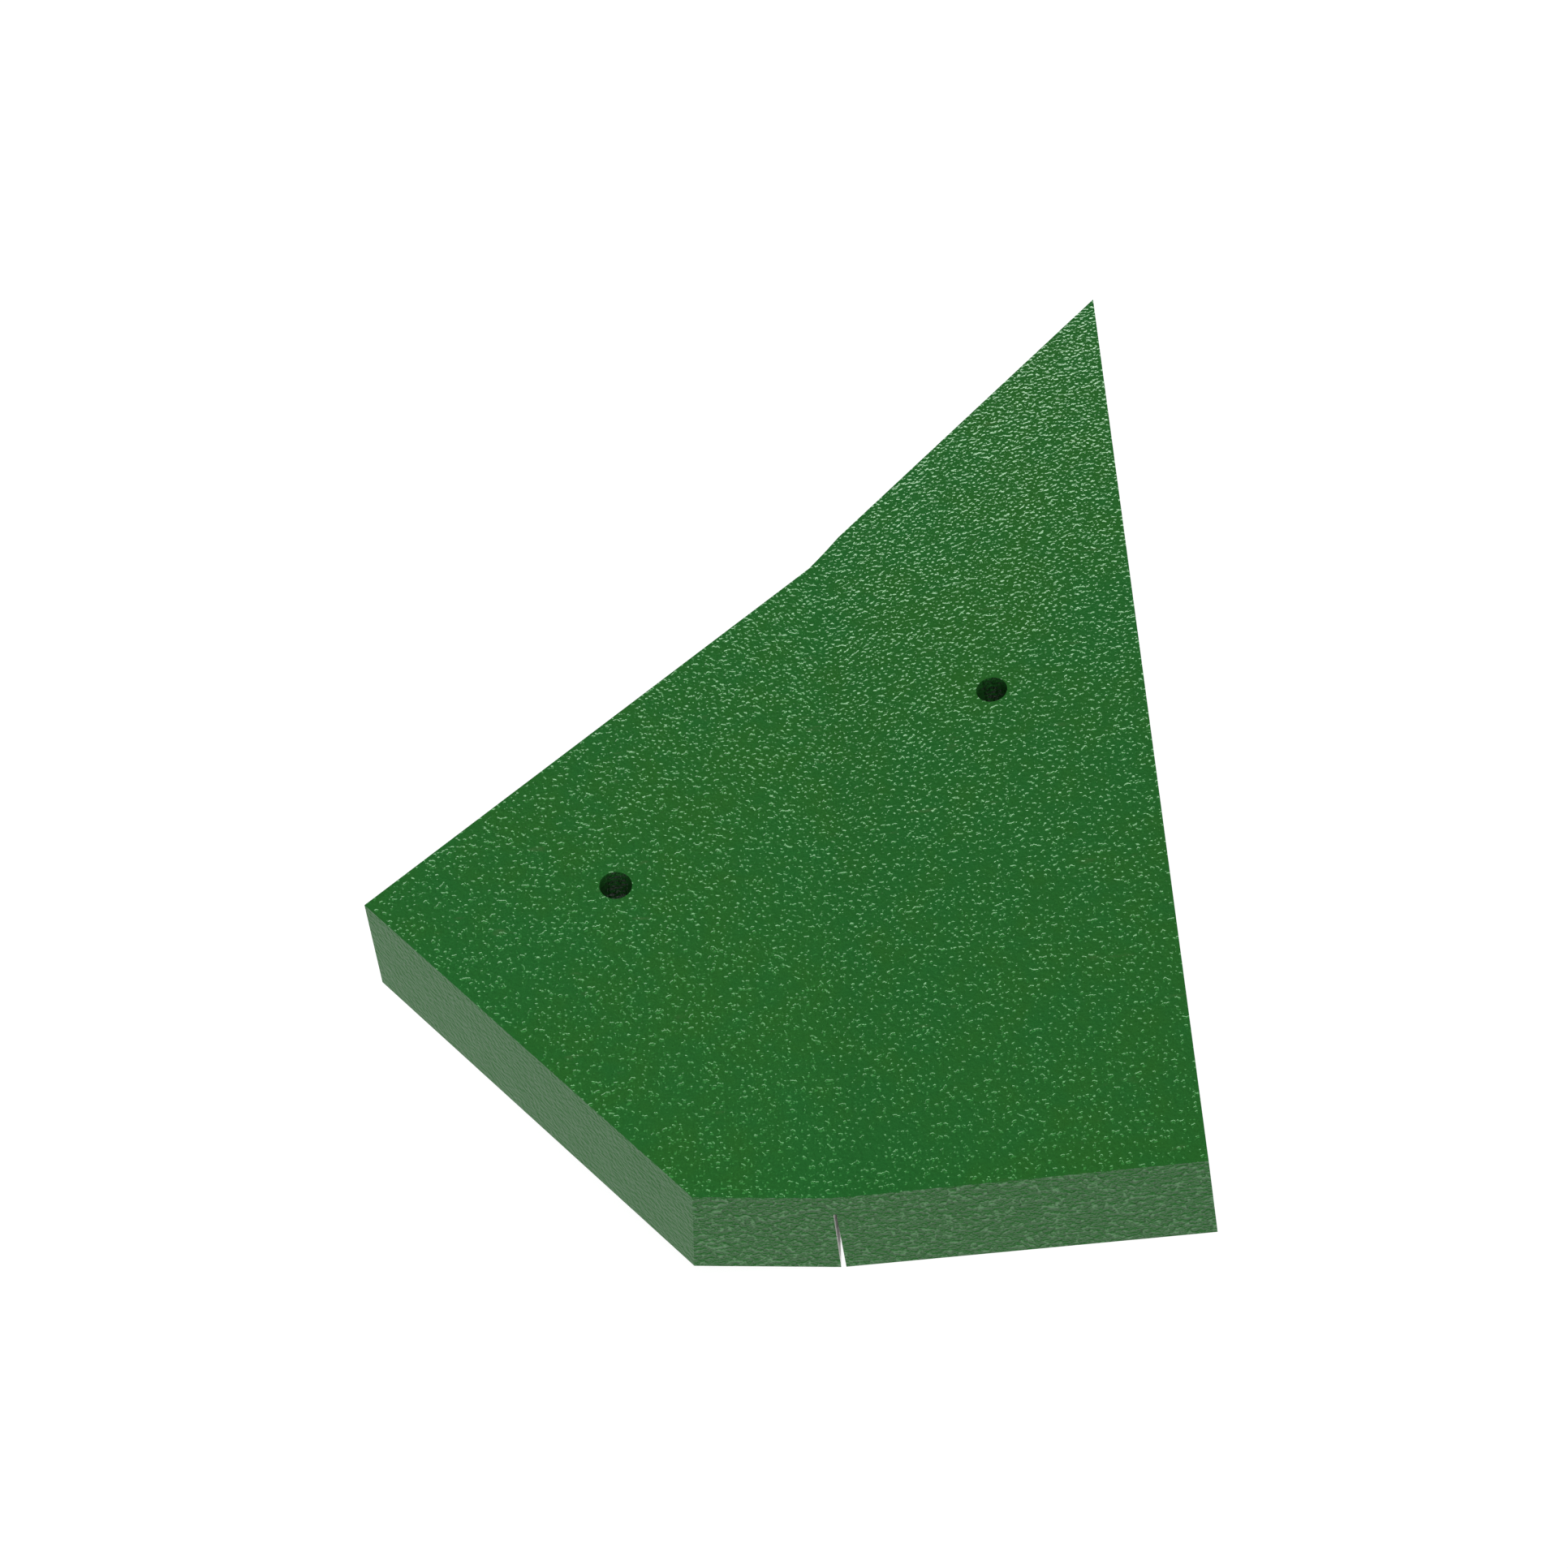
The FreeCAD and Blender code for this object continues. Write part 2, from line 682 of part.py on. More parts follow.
STRAPS = {
    "fold_strap_lower": "dims.strap_low_y",
    "fold_strap_upper": "layout.crown_left - dims.strap_high_drop",
}
straps = {}
plate_ways = []
strap_seat = value("-(dims.plate_thickness + dims.strap_thickness)")
for name, height in STRAPS.items():
    centre = value(height)
    place = facet_place("right") * Placement(Vector(0, centre, 0), Rotation())
    body = new_body(f"{name}_blank", place)
    reach = "dims.strap_reach"
    depth, thickness = "dims.plate_thickness", "dims.strap_thickness"
    section = bent_section(body, f"{name}_section", depth, thickness, reach, reach)
    pad(body, section, "dims.strap_width").Midplane = True
    seats = []
    for side, sign in (("left", -1), ("right", 1)):
        for step in (-1, 1):
            x = sign * value("dims.strap_screw_x")
            y = centre + step * value("dims.strap_screw_y")
            seats.append(on_facet(side, x, y, strap_seat))
    ways = strap_screws.at(seats)
    plate_ways.append(ways)
    straps[name] = cut(name, body, ways)


# Hold positions: a backing block under the sheet, a tee nut let into its back, and their screws

tee_body = new_body("tee_nut_master", Placement())
tee_outline = [
    ("dims.tee_thread / 2", "-dims.tee_flange_thickness"),
    ("dims.tee_flange / 2", "-dims.tee_flange_thickness"),
    ("dims.tee_flange / 2", "0"),
    ("dims.tee_barrel / 2", "0"),
    ("dims.tee_barrel / 2", "dims.tee_barrel_length"),
    ("dims.tee_thread / 2", "dims.tee_barrel_length"),
]
revolve(tee_body, profile(tee_body, "tee_nut_half", "XZ_Plane", tee_outline))

bore = doc.addObject("Part::Cylinder", "hold_bore")
bore.setExpression("Radius", "dims.hold_hole / 2")
bore.setExpression("Height", "dims.plate_thickness + dims.block_thickness + 2 * dims.overcut")
socket = doc.addObject("Part::Cylinder", "tee_nut_socket")
socket.setExpression("Radius", "dims.tee_barrel / 2 + dims.tee_socket_gap")
socket.setExpression("Height", "dims.tee_barrel_length + dims.tee_end_gap + dims.overcut")

block_back = value("-(dims.plate_thickness + dims.block_thickness)")
flange_back = block_back - value("dims.tee_flange_thickness")
screw_out = value("dims.block_side / 2 - dims.block_screw_inset")
left_hold = point_a + down_rake * value("dims.hold_left_from_upper")
left_hold += up_rake * value("dims.hold_left_from_lower")
HOLDS = {
    "left": (left_hold.x, left_hold.y, RIGHT_ANGLE - rake),
    "right": (value("dims.hold_right_x"), value("dims.hold_right_y"), 0.0),
}
NUT_SCREWS = 3
blocks = {}
tee_nuts = {}
overcut = value("dims.overcut")
for side, (x, y, turn) in HOLDS.items():
    centre = on_facet(side, x, y, block_back, turn)
    slab = doc.addObject("Part::Box", f"hold_block_{side}_slab")
    slab.setExpression("Length", "dims.block_side")
    slab.setExpression("Width", "dims.block_side")
    slab.setExpression("Height", "dims.block_thickness")
    half_side = value("dims.block_side / 2")
    slab.Placement = centre * Placement(Vector(-half_side, -half_side, 0), Rotation())
    below = centre * Placement(Vector(0, 0, -overcut), Rotation())
    drilled = copies(f"hold_bore_{side}", bore, [below])
    seated = copies(f"tee_nut_socket_{side}", socket, [below])
    corners = [Vector(a * screw_out, b * screw_out, 0) for a in (-1, 1) for b in (-1, 1)]
    block_ways = block_screws.at([centre * Placement(corner, Rotation()) for corner in corners])
    nut_seats = []
    for number in range(NUT_SCREWS):
        spin = Placement(Vector(), Rotation(UP, number * FULL_TURN / NUT_SCREWS))
        out = Vector(value("dims.tee_screw_circle / 2"), 0, flange_back - block_back)
        nut_seats.append(centre * spin * Placement(out, Rotation()))
    nut_ways = tee_nut_screws.at(nut_seats)
    blocks[side] = cut(f"hold_block_{side}", slab, drilled, seated, block_ways, nut_ways)
    tee_blank = copies(f"tee_nut_{side}_blank", tee_body, [centre])
    tee_nuts[side] = cut(f"tee_nut_{side}", tee_blank, nut_ways)
    plate_ways.extend([drilled, block_ways])


# The sheet: its bent section padded up the fold, trimmed square to each facet along the raked edges

def waste_prism(name, side, outline):
    """Offcut beyond one edge of the sheet."""
    body = new_body(name, facet_place(side))
    sketch = profile(body, f"{name}_outline", "XY_Plane", outline, lift="dims.overcut - layout.waste / 2")
    pad(body, sketch, "layout.waste")
    return body


def past(corner, along_x, along_y):
    """A point offset from a corner by whole widths of waste."""
    x, y = corner
    return f"{x} + layout.waste * ({along_x})", f"{y} + layout.waste * ({along_y})"


sheet_body = new_body("sheet", facet_place("right"))
sheet_section = bent_section(
    sheet_body, "sheet_section", "0 * dims.plate_thickness", "dims.plate_thickness",
    "(dims.overcut - layout.edge_a_x)", "dims.bottom_right",
)
pad(sheet_body, sheet_section, "layout.edge_e_y + dims.overcut", backwards=True)

sine, cosine = "layout.rake_sine", "layout.rake_cosine"
lower_waste = waste_prism("lower_left_waste", "left", [
    past(CORNER["A"], f"-{cosine}", sine),
    past(CORNER["A"], f"-{cosine} - {sine}", f"{sine} - {cosine}"),
    past(CORNER["B"], f"{cosine} - {sine}", f"-{sine} - {cosine}"),
    past(CORNER["B"], cosine, f"-{sine}"),
])
far_left = "(layout.edge_a_x - layout.waste)"
high_up = "(layout.edge_e_y + layout.waste)"
past_jog = "(3 * dims.crown_reach)"
upper_left_waste = waste_prism("upper_left_waste", "left", [
    (far_left, above("layout.crown_left", far_left)),
    ("-dims.crown_reach", above("layout.crown_left", "-dims.crown_reach")),
    (past_jog, jog(past_jog)),
    (past_jog, high_up),
    (far_left, high_up),
])
far_right = "(dims.bottom_right + layout.waste)"
upper_right_waste = waste_prism("upper_right_waste", "right", [
    (f"-{past_jog}", above("layout.crown_right", f"-{past_jog}")),
    (far_right, above("layout.crown_right", far_right)),
    (far_right, f"{high_up} + layout.waste"),
    (f"-{past_jog}", f"{high_up} + layout.waste"),
])
rail_drills = [ways[0] for ways in rail_ways.values()]
face_plate = cut(
    "face_plate", sheet_body, lower_waste, upper_left_waste, upper_right_waste,
    right_jog_offcut, left_relief_offcut, *rail_drills, *plate_ways,
)


# Nodes

nodes = {"face_plate": face_plate}
nodes.update(rails)
for side in HOLDS:
    nodes[f"hold_block_{side}"] = blocks[side]
    nodes[f"tee_nut_{side}"] = tee_nuts[side]
nodes.update(straps)
nodes.update(brackets)
for kind in (rail_screws, strap_screws, block_screws, bracket_screws, tee_nut_screws):
    nodes[kind.name] = copies(kind.name, kind.screw, kind.places)

doc.recompute()
for item in doc.Objects:
    if "Invalid" in item.State or "Error" in item.State:
        raise RuntimeError(f"{item.Name} failed: {item.State}")
for name, item in nodes.items():
    shape = item.Shape
    if shape.isNull() or not shape.isValid() or not shape.Solids:
        raise RuntimeError(f"{name} has no valid solid")

os.makedirs("parts", exist_ok=True)
box = FreeCAD.BoundBox()
for name, item in nodes.items():
    item.Label = name
    item.Shape.exportStep(os.path.join("parts", f"{name}.step"))
    box.add(item.Shape.BoundBox)
    print(f"{name}: {len(item.Shape.Solids)} solids, {item.Shape.Volume:.0f} mm3")
size = " x ".join(f"{length:.2f}" for length in (box.XLength, box.YLength, box.ZLength))
print(f"{len(nodes)} nodes, {size} mm, lowest {box.ZMin:.3f}")
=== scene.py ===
import json
import math

import bmesh
import bpy
from bpy.props import FloatProperty, FloatVectorProperty, IntProperty, PointerProperty
from mathutils import Matrix, Vector


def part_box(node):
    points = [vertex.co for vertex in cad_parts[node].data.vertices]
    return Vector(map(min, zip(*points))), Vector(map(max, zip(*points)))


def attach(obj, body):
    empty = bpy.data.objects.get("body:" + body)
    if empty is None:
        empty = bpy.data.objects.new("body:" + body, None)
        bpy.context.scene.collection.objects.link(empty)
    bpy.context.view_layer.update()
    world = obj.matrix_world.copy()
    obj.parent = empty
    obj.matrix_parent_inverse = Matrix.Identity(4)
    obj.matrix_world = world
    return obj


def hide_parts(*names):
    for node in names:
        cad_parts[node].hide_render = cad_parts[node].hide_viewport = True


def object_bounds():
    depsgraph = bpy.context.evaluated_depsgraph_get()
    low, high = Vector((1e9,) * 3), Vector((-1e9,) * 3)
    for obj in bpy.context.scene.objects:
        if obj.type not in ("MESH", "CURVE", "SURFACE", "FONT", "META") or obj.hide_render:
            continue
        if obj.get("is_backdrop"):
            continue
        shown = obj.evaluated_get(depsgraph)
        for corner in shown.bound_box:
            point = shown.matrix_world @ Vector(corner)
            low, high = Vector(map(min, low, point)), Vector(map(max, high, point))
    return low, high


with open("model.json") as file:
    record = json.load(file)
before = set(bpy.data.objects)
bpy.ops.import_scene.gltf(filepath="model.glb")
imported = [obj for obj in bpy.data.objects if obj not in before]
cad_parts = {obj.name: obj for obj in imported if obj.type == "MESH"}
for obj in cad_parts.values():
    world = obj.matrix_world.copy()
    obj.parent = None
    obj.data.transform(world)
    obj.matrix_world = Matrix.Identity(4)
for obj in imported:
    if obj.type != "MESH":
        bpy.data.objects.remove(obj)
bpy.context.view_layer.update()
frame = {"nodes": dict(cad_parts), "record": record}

bl_info = {
    "name": "Folded Climbing Panel",
    "version": (1, 0, 0),
    "blender": (4, 5, 0),
    "location": "3D View > Sidebar > Climbing Panel",
    "description": "Finishes and hardware of a folded climbing panel with two hold positions",
    "category": "Object",
}

MOUNTS = {mount["name"]: mount for mount in frame["record"]["mounts"]}
ROOT = "root"
MM = 0.001
HOLD_HOLES = ("hold_hole_left", "hold_hole_right")
# how far past a hold hole's wall its painted shade, a darker green, still reaches
BORE_SHADE_MARGIN = 0.8 * MM
# how far from the middle of the fold a saw cut is painted pale, as painted light standing in for the bright
# slit, and the width of its fading end
SLIT_LIGHT_REACH = 14 * MM
SLIT_LIGHT_FADE = 1 * MM

# Cells to the metre of the slow changes of colour and gloss, and of the zinc's spangle and spots
DRIFT_SCALE = 14.0
PATCH_SCALE = 90.0
SPANGLE_SCALE = 420.0
SPOT_SCALE = 160.0
# the same across, along and up, where a pattern is drawn out one way
SCUFF_STRETCH = (60.0, 220.0, 220.0)
STREAK_STRETCH = (900.0, 60.0, 900.0)
# fine skin on the pebbles: how many times finer, and its height as a share of theirs
SKIN_FINENESS = 5
SKIN_HEIGHT = 0.02
# height of the spangle and streaks of zinc
ZINC_RELIEF = 0.02 * MM
# shares of one colour laid over another: painted shade in the dips between the pebbles, a painted glint on
# the peaks, and real scuffs
PAINTED_HOLLOW_SHADE = 0.1
PAINTED_PEAK_GLINT = 0.25
SCUFF_SHARE = 0.12
# how much darker the painted shade, and how much lighter the painted glint, is than the plain green
PAINTED_SHADE_FACTOR = 0.75
PAINTED_GLINT_FACTOR = 1.7
# how far the roughness of the green strays over its patches
GLOSS_SPREAD = 0.1
# grain that every side has, and what the sides that face along the fold have besides: a painted highlight on
# the tops of the grain, and its relief
CREST_HIGHLIGHT_LEAST = 0.02
CREST_HIGHLIGHT_MORE = 0.63
RELIEF_LEAST = 0.25
RELIEF_MORE = 0.75

# Where one look gives way to another: the value at which the second begins, and at which it is full
DRIFT_BAND = (0.35, 0.65)
HOLLOW_BAND = (0.5, 0.3)
PEAK_BAND = (0.6, 0.72)
SCUFF_BAND = (0.66, 0.78)
CREST_HIGHLIGHT_BAND = (0.54, 0.68)
DULL_BAND = (0.52, 0.68)
# the same for the part of a normal that points up, along the fold or across it
FACE_BAND = (0.6, 0.8)
ALONG_BAND = (0.78, 0.92)
SAWN_BAND = (0.85, 0.9)
# the same for a direction in the room: away from the camera, toward it, and down from the ceiling
BEHIND_BAND = (0.5, 0.78)
TOWARD_BAND = (0.15, -0.5)
WALL_BAND = (0.47, 0.36)

# edges sharper than this are rounded, and those blunter than the next are shaded smooth
CORNER = math.radians(35)
SMOOTH_BELOW = math.radians(20)
# points closer than this become one, and faces flat to within the next become one
MERGE = 0.001 * MM
FLAT_WITHIN = math.radians(0.5)
FLANGE_SIDES = 72
DRILL_SIDES = 32
THREAD_STEPS = 40
# the ridge's triangle, as a share of the thread's depth
RIDGE = 0.7

FLOOR_SIZE = 60.0
FLOOR_GAP = 0.1 * MM
LAMP_WIDTH = math.radians(50)
LAMP_LEAN = (math.radians(18), math.radians(14), 0)
CLIP_START = 0.01
CLIP_END = 200.0

RAILS = (
    "rail_lower_left", "rail_bottom_left", "rail_bottom_right",
    "rail_side", "rail_upper_right", "rail_upper_left",
)
BLOCKS = ("hold_block_left", "hold_block_right")
STRAPS = ("fold_strap_lower", "fold_strap_upper")
BRACKETS = ("bracket_lower_left", "bracket_upper_left", "bracket_side_lower", "bracket_side_upper")
SCREWS = ("rail_screws", "strap_screws", "block_screws", "bracket_screws", "tee_nut_screws")
# where the fold stands: between the sawn ends of the two bottom rails
FOLD_X = (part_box("rail_bottom_left")[1][0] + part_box("rail_bottom_right")[0][0]) / 2


# Sizes and colours that a user would change

class PanelLook(bpy.types.PropertyGroup):
    green: FloatVectorProperty(
        name="Green", description="Colour of the sheet", subtype="COLOR", size=3,
        default=(0.0158, 0.101, 0.0182),
    )
    grain: FloatProperty(
        name="Grain", description="Distance from one pebble of the grain to the next",
        default=0.0016, unit="LENGTH",
    )
    grain_height: FloatProperty(
        name="Grain height", description="Height of the pebbles", default=0.00058, unit="LENGTH",
    )
    side_grain: FloatProperty(
        name="Side grain", description="Distance from one pebble to the next on the sides",
        default=0.0018, unit="LENGTH",
    )
    side_height: FloatProperty(
        name="Side grain height", description="Height of the grain on the sides", default=0.0036,
        unit="LENGTH",
    )
    peak: FloatProperty(
        name="Peaks", description="Height of the steep tops, as a share of the pebbles", default=0.16,
    )
    gloss: FloatProperty(
        name="Face roughness", description="Roughness of the moulded skin", default=0.1,
    )
    edge_gloss: FloatProperty(
        name="Side roughness", description="Roughness of the sheet's and rails' sides", default=0.4,
    )
    edge_shine: FloatProperty(
        name="Side shine", description="Strength of the reflection on the sides", default=0.12,
    )
    sheen: FloatVectorProperty(
        name="Glint", description="Tint of the glints", subtype="COLOR", size=3,
        default=(0.24, 1.0, 0.27),
    )
    # painted light: the saw cuts at the fold are painted this pale colour to stand in for the light seen in
    # the slit
    core: FloatVectorProperty(
        name="Core", description="Colour of the saw cuts at the fold", subtype="COLOR", size=3,
        default=(0.8, 0.79, 0.77),
    )
    # the sides' rubbed tops named here are a painted highlight on the grain
    side_green: FloatVectorProperty(
        name="Side green", description="Colour of the sides between their rubbed tops", subtype="COLOR",
        size=3, default=(0.0215, 0.106, 0.0235),
    )
    # painted highlight: a lighter colour on the tops of the grain stands in for light falling on them
    side_crest_highlight: FloatVectorProperty(
        name="Side crests", description="Colour of the rubbed tops on the sides", subtype="COLOR", size=3,
        default=(0.115, 0.25, 0.118),
    )
    scuffs: FloatVectorProperty(
        name="Scuffs", description="Colour of the faint shoe scuffs", subtype="COLOR", size=3,
        default=(0.16, 0.17, 0.10),
    )


class SteelLook(bpy.types.PropertyGroup):
    zinc: FloatVectorProperty(
        name="Zinc", description="Colour of the galvanised steel", subtype="COLOR", size=3,
        default=(0.55, 0.56, 0.57),
    )
    passivated: FloatVectorProperty(
        name="Passivated zinc", description="Colour of the yellow-passivated steel", subtype="COLOR",
        size=3, default=(0.62, 0.52, 0.30),
    )


class NutSizes(bpy.types.PropertyGroup):
    flange: FloatProperty(name="Flange", description="Flange radius", default=19 * MM, unit="LENGTH")
    sheet: FloatProperty(
        name="Flange thickness", description="Thickness of the flange", default=1.6 * MM, unit="LENGTH",
    )
    barrel: FloatProperty(name="Barrel", description="Barrel radius", default=6.5 * MM, unit="LENGTH")
    height: FloatProperty(
        name="Barrel height", description="Barrel height above the flange", default=12 * MM, unit="LENGTH",
    )
    root: FloatProperty(
        name="Thread root", description="Radius at the foot of the thread", default=5 * MM, unit="LENGTH",
    )
    crest: FloatProperty(
        name="Thread crest", description="Radius at the thread's crest", default=4.25 * MM, unit="LENGTH",
    )
    pitch: FloatProperty(name="Pitch", description="Pitch of the thread", default=1.5 * MM, unit="LENGTH")
    turns: IntProperty(name="Turns", description="Turns of thread", default=8)
    screw_circle: FloatProperty(
        name="Screw circle", description="Radius of the ring of screw holes", default=14 * MM, unit="LENGTH",
    )
    screw_hole: FloatProperty(
        name="Screw hole", description="Radius of the screw holes", default=1.75 * MM, unit="LENGTH",
    )
    screws: IntProperty(name="Screws", description="Number of screw holes", default=3)
    turn_left: FloatProperty(
        name="Left turn", description="Turn of the left nut about its axis", subtype="ANGLE",
        default=math.radians(46.4),
    )
    edge: FloatProperty(
        name="Edge", description="Width of the rounded edges of the steel", default=0.3 * MM, unit="LENGTH",
    )


class StageLook(bpy.types.PropertyGroup):
    floor: FloatVectorProperty(
        name="Floor", description="Colour of the floor", subtype="COLOR", size=3, default=(0.15, 0.15, 0.15),
    )
    glow: FloatProperty(
        name="Floor glow", description="Light that the lit table gives from below", default=0.9,
    )
    elevation: FloatProperty(
        name="Elevation", description="How far the camera looks down", subtype="ANGLE",
        default=math.radians(52),
    )
    tilt: FloatProperty(
        name="Tilt", description="Turn of the camera about the direction of the fold", subtype="ANGLE",
        default=math.radians(12.09),
    )
    reach: FloatVectorProperty(
        name="Camera place", description="From the middle of the object's foot to the camera", size=3,
        default=(0.1460, -0.5445, 0.6876), unit="LENGTH",
    )
    lens: FloatProperty(name="Lens", description="Focal length in millimetres", default=50.0)
    dome: FloatProperty(name="Dome", description="Light of the room above the object", default=0.1)
    front: FloatProperty(name="Front", description="Extra light from the camera's side", default=0.5)
    horizon: FloatProperty(name="Horizon", description="Light of the white walls", default=1.2)
    window: FloatProperty(name="Window", description="Extra light of the wall behind", default=4.5)
    lamp: FloatProperty(name="Lamp", description="Strength of the soft overhead lamp", default=1.8)


# Shader sums

class Wire:
    """A socket in a material's tree that takes part in sums, each of which adds its Math node."""

    def __init__(self, tree, socket):
        self.tree = tree
        self.socket = socket

    def math(self, operation, *values):
        node = self.tree.nodes.new("ShaderNodeMath")
        node.operation = operation
        for socket, value in zip(node.inputs, values):
            connect(self.tree, socket, value)
        return Wire(self.tree, node.outputs[0])

    def __add__(self, other):
        return self.math("ADD", self, other)

    def __radd__(self, other):
        return self.math("ADD", other, self)

    def __sub__(self, other):
        return self.math("SUBTRACT", self, other)

    def __rsub__(self, other):
        return self.math("SUBTRACT", other, self)

    def __mul__(self, other):
        return self.math("MULTIPLY", self, other)

    def __rmul__(self, other):
        return self.math("MULTIPLY", other, self)

    def __abs__(self):
        return self.math("ABSOLUTE", self)


def connect(tree, socket, value):
    """Puts a value on a socket, or links it there."""
    if isinstance(value, Wire):
        tree.links.new(value.socket, socket)
    elif isinstance(value, (tuple, list)) and len(value) == 3 and socket.type == "RGBA":
        socket.default_value = (*value, 1.0)
    else:
        socket.default_value = value


class Recipe:
    """A node tree under construction."""

    def __init__(self, tree):
        self.tree = tree
        tree.nodes.clear()

    def node(self, kind, output=0, settings=None, **sockets):
        """Adds a node: its settings first, then its sockets by name, with _ for a blank."""
        node = self.tree.nodes.new(kind)
        for name, value in (settings or {}).items():
            setattr(node, name, value)
        for name, value in sockets.items():
            wanted = name.replace("_", " ").strip()
            socket = next(s for s in node.inputs if s.name == wanted and s.enabled)
            connect(self.tree, socket, value)
        return Wire(self.tree, node.outputs[output])

    def place(self):
        """Object coordinates."""
        return self.node("ShaderNodeTexCoord", "Object")

    def noise(self, vector, scale, detail=2.0, roughness=0.5):
        """Noise between 0 and 1, with this many cells to a unit of its vector."""
        return self.node(
            "ShaderNodeTexNoise", "Fac", Vector=vector, Scale=scale, Detail=detail, Roughness=roughness,
        )

    def smooth(self, value, low, high):
        """0 below low, 1 above high, and smooth between."""
        return self.node(
            "ShaderNodeMapRange", "Result", {"interpolation_type": "SMOOTHSTEP"},
            Value=value, From_Min=low, From_Max=high,
        )

    def split(self, vector):
        """The x, y and z of a vector."""
        node = self.tree.nodes.new("ShaderNodeSeparateXYZ")
        connect(self.tree, node.inputs[0], vector)
        return [Wire(self.tree, socket) for socket in node.outputs]

    def vector_math(self, operation, output, *vectors):
        node = self.tree.nodes.new("ShaderNodeVectorMath")
        node.operation = operation
        for socket, vector in zip(node.inputs, vectors):
            connect(self.tree, socket, vector)
        return Wire(self.tree, node.outputs[output])

    def away_from(self, place, point, axis):
        """Distance from the straight line through a point along an axis."""
        reach = self.vector_math("SUBTRACT", "Vector", place, tuple(point))
        across = self.vector_math("CROSS_PRODUCT", "Vector", reach, tuple(Vector(axis).normalized()))
        return self.vector_math("LENGTH", "Value", across)

    def stretch(self, vector, factors):
        """A vector with each of its parts scaled."""
        return self.node("ShaderNodeMapping", "Vector", Vector=vector, Scale=factors)

    def blend(self, factor, first, second):
        """A mix of two colours."""
        node = self.tree.nodes.new("ShaderNodeMix")
        node.data_type = "RGBA"
        colours = [socket for socket in node.inputs if socket.type == "RGBA"]
        connect(self.tree, node.inputs[0], factor)
        connect(self.tree, colours[0], first)
        connect(self.tree, colours[1], second)
        result = next(socket for socket in node.outputs if socket.type == "RGBA")
        return Wire(self.tree, result)

    def bump(self, height, distance):
        """The normal of a relief whose height of 1 stands this far out."""
        return self.node("ShaderNodeBump", "Normal", Height=height, Distance=distance, Strength=1.0)

    def principled(self, **sockets):
        return self.node("ShaderNodeBsdfPrincipled", "BSDF", **sockets)

    def mix_shader(self, factor, first, second):
        """The first shader where the factor is 0, and the second where it is 1."""
        node = self.tree.nodes.new("ShaderNodeMixShader")
        for socket, value in zip(node.inputs, (factor, first, second)):
            connect(self.tree, socket, value)
        return Wire(self.tree, node.outputs[0])

    def finish(self, shader):
        out = self.tree.nodes.new("ShaderNodeOutputMaterial")
        self.tree.links.new(shader.socket, out.inputs["Surface"])


def new_material(name):
    material = bpy.data.materials.new(name)
    material.use_nodes = True
    return material, Recipe(material.node_tree)


def tinted(colour, factor):
    """A colour made lighter or darker."""
    return tuple(part * factor for part in colour)


def face_colour(recipe, look, pebble, peaks, patch):
    """Green of the faces, which drifts a little, has painted shade in the dips of the grain, a painted glint
    on the peaks, and is lighter at scuffs.
    """
    place = recipe.place()
    green = tuple(look.green)
    warm = (green[0] * 1.15, green[1], green[2] * 0.9)
    cool = (green[0] * 0.9, green[1] * 1.01, green[2] * 1.1)
    drift = recipe.noise(place, DRIFT_SCALE, detail=3.0)
    colour = recipe.blend(recipe.smooth(drift * 0.6 + patch * 0.4, *DRIFT_BAND), warm, cool)
    # painted shade: the dips between the pebbles are painted a darker green
    hollow_shade_mask = recipe.smooth(pebble, *HOLLOW_BAND)
    colour = recipe.blend(hollow_shade_mask * PAINTED_HOLLOW_SHADE, colour, tinted(green, PAINTED_SHADE_FACTOR))
    # painted glint: the peaks are painted a lighter green
    colour = recipe.blend(peaks * PAINTED_PEAK_GLINT, colour, tinted(green, PAINTED_GLINT_FACTOR))
    scuff = recipe.noise(recipe.stretch(place, SCUFF_STRETCH), 1.0, detail=4.0)
    return recipe.blend(recipe.smooth(scuff, *SCUFF_BAND) * SCUFF_SHARE, colour, tuple(look.scuffs))


def side_colour(recipe, look, painted_crest_highlights, across):
    """Green of the sides, with a painted highlight on the tops of the grain, pale painted light on the saw
    cuts at the fold and painted shade in the hold holes.
    """
    place = recipe.place()
    # painted highlight: the tops of the grain are painted a lighter green
    colour = recipe.blend(painted_crest_highlights, tuple(look.side_green), tuple(look.side_crest_highlight))
    from_fold = abs(recipe.split(place)[0] - FOLD_X)
    near_fold = recipe.smooth(from_fold, SLIT_LIGHT_REACH, SLIT_LIGHT_REACH - SLIT_LIGHT_FADE)
    # painted light: the saw cuts near the fold are painted pale
    sawn = recipe.smooth(abs(across), *SAWN_BAND) * near_fold
    colour = recipe.blend(sawn, colour, tuple(look.core))
    for hole in HOLD_HOLES:
        away = recipe.away_from(place, MOUNTS[hole]["pos_m"], MOUNTS[hole]["axis"])
        bore = MOUNTS[hole]["dims"]["r_mm"] * MM
        # painted shade: the walls of the hold holes are painted a darker green
        painted_bore_shade = recipe.smooth(away, bore + BORE_SHADE_MARGIN, bore + BORE_SHADE_MARGIN / 2)
        colour = recipe.blend(painted_bore_shade, colour, tinted(tuple(look.green), PAINTED_SHADE_FACTOR))
    return colour


